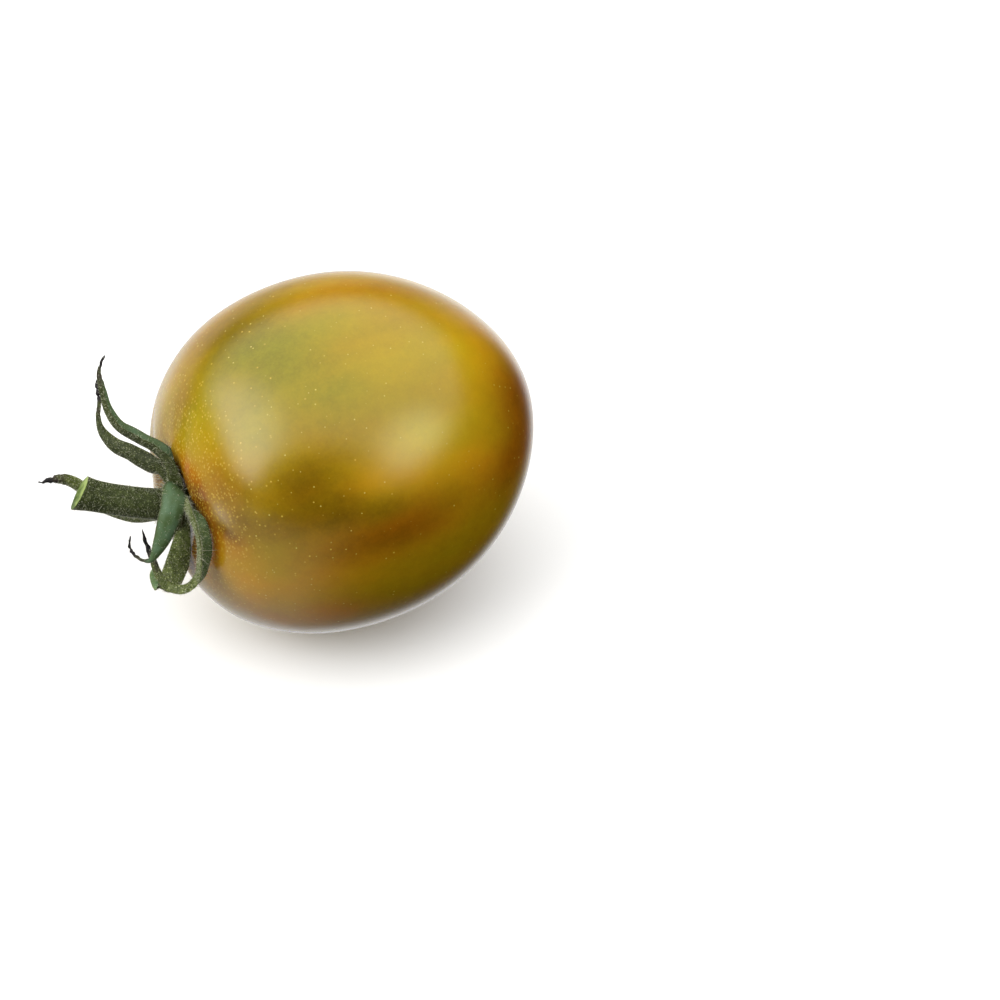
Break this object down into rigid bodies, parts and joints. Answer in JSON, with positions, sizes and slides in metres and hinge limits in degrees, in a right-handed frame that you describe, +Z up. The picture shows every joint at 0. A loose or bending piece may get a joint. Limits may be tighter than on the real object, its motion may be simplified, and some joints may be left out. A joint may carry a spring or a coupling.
{
  "type": "green grape tomato",
  "caption": "Oval green-brown grape tomato lying on its side, with its curled green calyx and a short cut stem at one end.",
  "frame": {"origin": "on the small flat spot that the fruit rests on, below the middle of the fruit's length", "axes": "+X along the fruit to its blossom end, with the stem end at -X; +Y to the fruit's back; +Z up"},
  "size_m": [0.042, 0.0298, 0.0296],
  "materials": {
    "fruit_skin": "smooth glossy skin, olive green and gold mottled with orange-brown, fine pale dots",
    "calyx_green": "matt green leaf with short pale hairs and dry blackish tips",
    "stem_green": "matt green stalk with short pale hairs and a fresh pale green cut face"
  },
  "bodies": {
    "root": {"fruit": "fruit_skin", "calyx": "calyx_green", "stem": "stem_green"}
  },
  "joints": []
}
